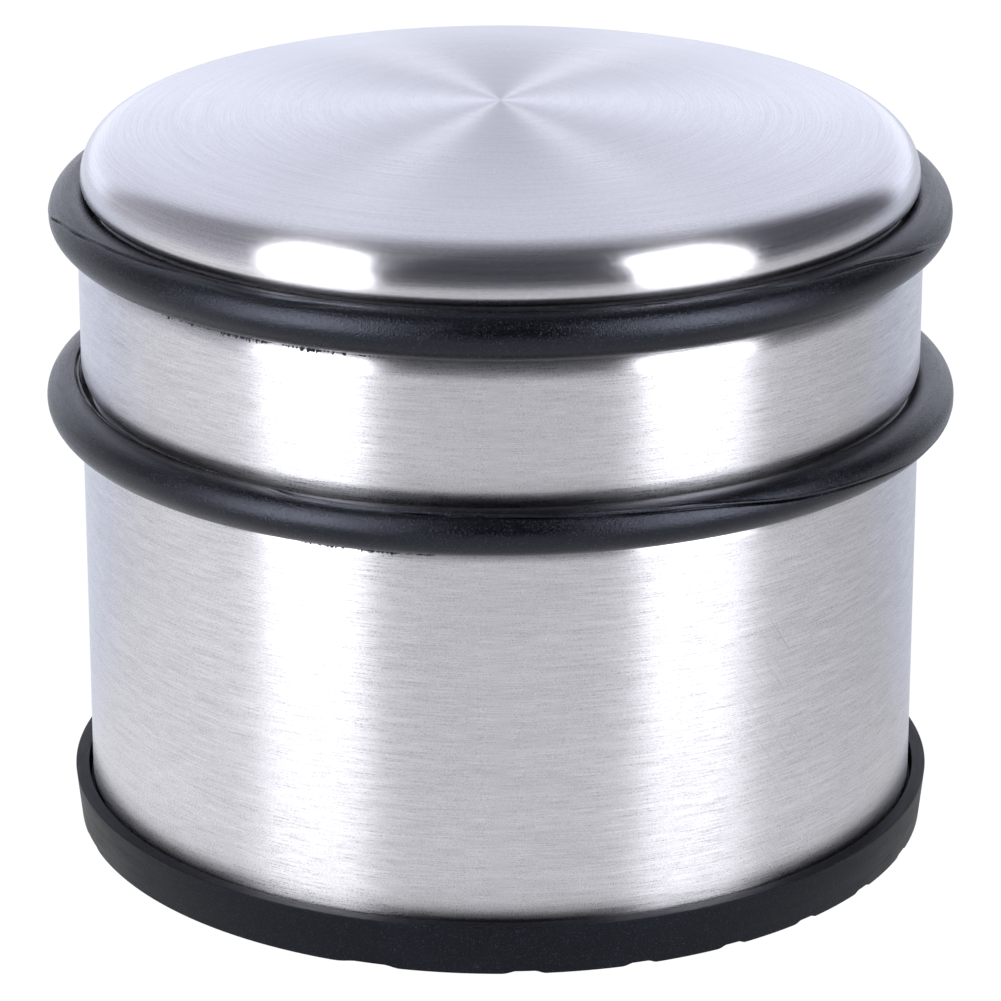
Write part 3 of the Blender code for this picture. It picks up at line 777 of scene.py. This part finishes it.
SCREW_RADIUS = 2.0 * MM
HEAD_RADIUS = 4.0 * MM
HEAD_HEIGHT = 1.7 * MM
THREAD_PITCH = 0.7 * MM
THREAD_DEPTH = 0.38 * MM
RECESS_LENGTH = 4.4 * MM
RECESS_WIDTH = 0.9 * MM
RECESS_DEPTH = 1.0 * MM
RECESS_TAPER = 0.9 * MM          # each arm is this much shorter at the recess's bottom
HEAD_CURVE = 1.15 * MM           # height of the head's rounded part
SMALL_EDGE = 0.1 * MM
TIP_CHAMFER = 0.4 * MM
SHANK_FACETS = 32
HEAD_FACETS = 48

screw_low, screw_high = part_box("base_screw_1")


def threaded_shank(bottom, top):
    """Rows of points up the shank, at the crest or the root of the thread as it winds past."""
    form = bmesh.new()
    rows = int((top - bottom) / (THREAD_PITCH / 8))
    loops = []
    for i in range(rows + 1):
        z = bottom + (top - bottom) * i / rows
        run = min(1.0, (z - bottom) / THREAD_PITCH, (top - z) / THREAD_PITCH)
        loop = []
        for j in range(SHANK_FACETS):
            turn = 2 * math.pi * j / SHANK_FACETS
            phase = (z / THREAD_PITCH - j / SHANK_FACETS) % 1.0
            valley = 1 - abs(2 * phase - 1)
            radius = SCREW_RADIUS - THREAD_DEPTH * min(1.0, 1.25 * valley) * max(0.0, run)
            radius -= max(0.0, TIP_CHAMFER - (top - z))
            loop.append(form.verts.new((radius * math.cos(turn), radius * math.sin(turn), z)))
        loops.append(loop)
    for loop, following in zip(loops, loops[1:]):
        for j in range(SHANK_FACETS):
            k = (j + 1) % SHANK_FACETS
            form.faces.new((loop[j], loop[k], following[k], following[j]))
    form.faces.new(loops[-1])
    form.faces.new(reversed(loops[0]))
    return form


def recess_cutter(head_bottom):
    """A cross whose arms narrow towards the bottom of the recess."""
    form = bmesh.new()
    half = RECESS_WIDTH / 2
    ends = ((-RECESS_DEPTH, RECESS_LENGTH / 2 + RECESS_TAPER),
            (RECESS_DEPTH, RECESS_LENGTH / 2 - RECESS_TAPER))
    for quarter in (0, 1):
        corners = [(x * reach, y * half, z) for z, reach in ends
                   for x, y in ((-1, -1), (1, -1), (1, 1), (-1, 1))]
        turned = Matrix.Rotation(quarter * math.pi / 2, 3, "Z")
        made = [form.verts.new(turned @ Vector(c) + Vector((0, 0, head_bottom))) for c in corners]
        for face in ((0, 3, 2, 1), (4, 5, 6, 7), (0, 1, 5, 4), (1, 2, 6, 5), (2, 3, 7, 6), (3, 0, 4, 7)):
            form.faces.new([made[k] for k in face])
    mesh = bpy.data.meshes.new("recess_cutter")
    form.to_mesh(mesh)
    form.free()
    return add_object("recess_cutter", mesh)


def screw_mesh():
    """The screw on the Z axis, head down, at the heights that it has in the base."""
    head_bottom = screw_low.z
    head_top = head_bottom + HEAD_HEIGHT
    profile = [(0.0, head_top), (HEAD_RADIUS - SMALL_EDGE, head_top), (HEAD_RADIUS, head_top - SMALL_EDGE)]
    for angle in range(0, 90, 10):
        sink = math.sin(math.radians(angle))
        profile.append((HEAD_RADIUS * math.cos(math.radians(angle)), head_bottom + HEAD_CURVE * (1 - sink)))
    profile.append((0.0, head_bottom))
    head = turned_object("screw_head", profile, HEAD_FACETS)
    bars = recess_cutter(head_bottom)
    boolean = head.modifiers.new("recess", "BOOLEAN")
    boolean.operation = "DIFFERENCE"
    boolean.solver = "EXACT"
    boolean.use_self = True
    boolean.object = bars
    head = settled_mesh(head)
    bpy.data.objects.remove(bars, do_unlink=True)
    form = threaded_shank(head_top - 0.05 * MM, screw_high.z)
    form.from_mesh(head)
    mesh = bpy.data.meshes.new("base_screw")
    form.to_mesh(mesh)
    form.free()
    return mesh


def washer_mesh():
    low, high = washer_low.z, washer_high.z
    profile = [(washer_radius - SMALL_EDGE, high), (washer_radius, high - SMALL_EDGE),
               (washer_radius, low + SMALL_EDGE), (washer_radius - SMALL_EDGE, low),
               (BORE_HOLE + SMALL_EDGE, low), (BORE_HOLE, low + SMALL_EDGE),
               (BORE_HOLE, high - SMALL_EDGE), (BORE_HOLE + SMALL_EDGE, high)]
    washer = turned_object("washer_blank", profile, HEAD_FACETS, closed=True)
    return settled_mesh(washer)


screw_shape = screw_mesh()
washer_shape = washer_mesh()
for number, screw_place in enumerate(screw_places, 1):
    for kind, shape in (("screw", screw_shape), ("washer", washer_shape)):
        fixing = add_object(f"zinc_{kind}_{number}", shape.copy())
        fixing.data.transform(Matrix.Translation((screw_place.x, screw_place.y, 0.0))
                              @ Matrix.Rotation(math.radians(37 * number), 4, "Z"))
        fit_piece(fixing, zinc_plating, "zinc_fixing", f"base_{kind}_{number}")


# ---- Floor and studio light ----
# A plain white floor, lit from within so that it throws its light back up at the steel, and pale
# grey in front and at the sides. It can't be seen from below. Round it stand a cool white
# backdrop, two tall soft lights in front, left and right, and dark walls between them.

FLOOR_RADIUS = 3.0
FLOOR_HEIGHT = -0.2 * MM         # just under the tread
PLAIN_WHITE = 1.02               # how bright the backdrop looks behind the door stop
PALE_GREY = 0.74                 # and to its sides and in front of it


def bearing_from_front(tree, towards):
    """The bearing of a direction, in degrees: 0 in front, minus to the left, plus to the right."""
    forward = maths(tree, "MULTIPLY", towards[1], -1.0)
    return maths(tree, "DEGREES", maths(tree, "ARCTAN2", towards[0], forward))


def lit_floor():
    material = bpy.data.materials.new("lit_floor")
    material.use_nodes = True
    tree = material.node_tree
    tree.nodes.remove(tree.nodes["Principled BSDF"])
    towards = add_node(tree, "SeparateXYZ", {0: object_place(tree)}).outputs
    bearing = bearing_from_front(tree, towards)
    left = maths(tree, "SUBTRACT", remap(tree, bearing, -20.0, -60.0, 0.93, 1.07),
                 remap(tree, bearing, -80.0, -117.0, 0.0, 0.20))
    thrown = maths(tree, "SUBTRACT", left, remap(tree, bearing, 60.0, 100.0, 0.0, 0.22))
    beside = remap(tree, maths(tree, "ABSOLUTE", bearing), 95.0, 125.0, smooth=True)
    tint = blend_colours(tree, beside, (1.0, 1.0, 1.0, 1.0), (0.94, 0.99, 1.09, 1.0))
    behind = maths(tree, "MULTIPLY", remap(tree, towards[1], -0.22, -0.07, smooth=True),
                   remap(tree, maths(tree, "ABSOLUTE", towards[0]), 0.34, 0.13, smooth=True))
    shown = blend_values(tree, behind, PALE_GREY, PLAIN_WHITE)
    seen = add_node(tree, "LightPath", {}).outputs["Is Camera Ray"]
    white = add_node(tree, "Emission", {"Color": blend_colours(tree, seen, tint, (1.0, 1.0, 1.0, 1.0)),
                                        "Strength": blend_values(tree, seen, thrown, shown)})
    below = add_node(tree, "NewGeometry", {}).outputs["Backfacing"]
    clear = add_node(tree, "BsdfTransparent", {})
    one_sided = add_node(tree, "MixShader", {0: below, 1: white.outputs[0], 2: clear.outputs[0]})
    tree.links.new(one_sided.outputs[0], tree.nodes["Material Output"].inputs["Surface"])
    return material


floor_form = bmesh.new()
bmesh.ops.create_circle(floor_form, cap_ends=True, segments=96, radius=FLOOR_RADIUS)
floor_mesh = bpy.data.meshes.new("floor")
floor_form.to_mesh(floor_mesh)
floor_form.free()
floor_mesh.materials.append(lit_floor())
floor = add_object("floor", floor_mesh)
floor.location.z = FLOOR_HEIGHT


def ramp(tree, value, stops):
    """A colour for each height of the light, from a list of (degrees above the horizon, colour)."""
    made = add_node(tree, "ValToRGB", {0: remap(tree, value, -90.0, 90.0)})
    made.color_ramp.interpolation = "B_SPLINE"
    elements = made.color_ramp.elements
    while len(elements) > 1:
        elements.remove(elements[-1])
    for i, (degrees, colour) in enumerate(stops):
        spot = (degrees + 90) / 180
        element = elements[0] if i == 0 else elements.new(spot)
        element.position = spot
        element.color = (*colour, 1.0)
    return made.outputs[0]


CEILING = (0.11, 0.11, 0.12)
ROOM_LIGHT = 1.5
LEAN_FROM = 10.0
LEFT_LIGHT = (8.0, 8.0, 8.0, 1.0)
RIGHT_LIGHT = (7.5, 7.5, 7.6, 1.0)


def studio():
    world = bpy.data.worlds.new("studio")
    bpy.context.scene.world = world
    world.use_nodes = True
    tree = world.node_tree
    background = tree.nodes["Background"]
    direction = add_node(tree, "TexCoord", {}).outputs["Generated"]
    towards = add_node(tree, "SeparateXYZ", {0: direction}).outputs
    bearing = bearing_from_front(tree, towards)
    height = maths(tree, "DEGREES", maths(tree, "ARCSINE", towards[2]))
    aside = maths(tree, "ABSOLUTE", bearing)

    backdrop = ramp(tree, height, ((-20, (0.86, 0.895, 1.0)), (5, (0.86, 0.895, 1.0)),
                                   (16, (0.65, 0.672, 0.755)), (36, (0.66, 0.685, 0.765)),
                                   (50, (0.58, 0.60, 0.66)), (64, (0.38, 0.39, 0.42)),
                                   (78, (0.20, 0.21, 0.23)), (90, CEILING)))
    front = ramp(tree, height, ((-20, (0.04, 0.04, 0.05)), (60, (0.04, 0.04, 0.05)), (90, CEILING)))
    left = ramp(tree, height, ((-20, (0.45, 0.45, 0.48)), (5, (0.42, 0.42, 0.45)),
                               (25, (0.27, 0.27, 0.29)), (90, CEILING)))
    right = ramp(tree, height, ((-20, (0.22, 0.22, 0.25)), (5, (0.06, 0.06, 0.07)),
                                (40, (0.05, 0.05, 0.06)), (90, CEILING)))
    sides = blend_colours(tree, maths(tree, "GREATER_THAN", bearing, 0.0), left, right)
    fronted = blend_colours(tree, remap(tree, aside, 40.0, 28.0, smooth=True), sides, front)
    walls = blend_colours(tree, remap(tree, aside, 126.0, 140.0, smooth=True), fronted, backdrop)
    room = add_node(tree, "VectorMath", {0: walls, 3: ROOM_LIGHT}, operation="SCALE").outputs[0]

    def soft_light(start, end, start_edge, end_edge, top, top_edge, lean):
        """How much of a soft light lies in a direction. All its sizes are in degrees.

        The lean is how far its sides move to the left with each degree of height above LEAN_FROM.
        """
        raised = maths(tree, "MAXIMUM", maths(tree, "SUBTRACT", height, LEAN_FROM), 0.0)
        turned = maths(tree, "ADD", bearing, maths(tree, "MULTIPLY", raised, lean))
        sideways = maths(tree, "MULTIPLY",
                         remap(tree, turned, start - start_edge, start + start_edge, smooth=True),
                         remap(tree, turned, end - end_edge, end + end_edge, 1.0, 0.0, smooth=True))
        return maths(tree, "MULTIPLY", sideways,
                     remap(tree, height, top - top_edge, top + top_edge, 1.0, 0.0, smooth=True))

    left_share = soft_light(start=-64.5, end=-35.0, start_edge=1.5, end_edge=1.0, top=54.0, top_edge=2.0,
                            lean=0.30)
    right_share = soft_light(start=37.5, end=68.0, start_edge=1.5, end_edge=5.0, top=52.0, top_edge=3.0,
                             lean=-0.14)
    lit = blend_colours(tree, left_share, room, LEFT_LIGHT)
    lit = blend_colours(tree, right_share, lit, RIGHT_LIGHT)
    seen = add_node(tree, "LightPath", {}).outputs["Is Camera Ray"]
    tree.links.new(blend_colours(tree, seen, lit, (PALE_GREY, PALE_GREY, PALE_GREY, 1.0)),
                   background.inputs["Color"])


studio()
bpy.context.scene.view_settings.view_transform = "Standard"
bpy.context.scene.view_settings.look = "None"


# ---- Camera ----
# It looks a little down on the door stop from straight in front, from a bit over half a metre,
# through a long lens that keeps the steel wall's sides almost parallel.

CAMERA_DISTANCE = 559.0 * MM
CAMERA_ELEVATION = math.radians(20.29)
AIM_HEIGHT = 35.86 * MM
SENSOR_WIDTH = 36.0
FOCAL_LENGTH = 178.76

camera = add_object("camera", bpy.data.cameras.new("camera"))
camera.data.sensor_width = SENSOR_WIDTH
camera.data.lens = FOCAL_LENGTH
camera.data.clip_start = 0.02
camera.data.clip_end = 20.0
camera.location = (0.0, -CAMERA_DISTANCE * math.cos(CAMERA_ELEVATION),
                   AIM_HEIGHT + CAMERA_DISTANCE * math.sin(CAMERA_ELEVATION))
camera.rotation_euler = (math.pi / 2 - CAMERA_ELEVATION, 0.0, 0.0)
bpy.context.scene.camera = camera
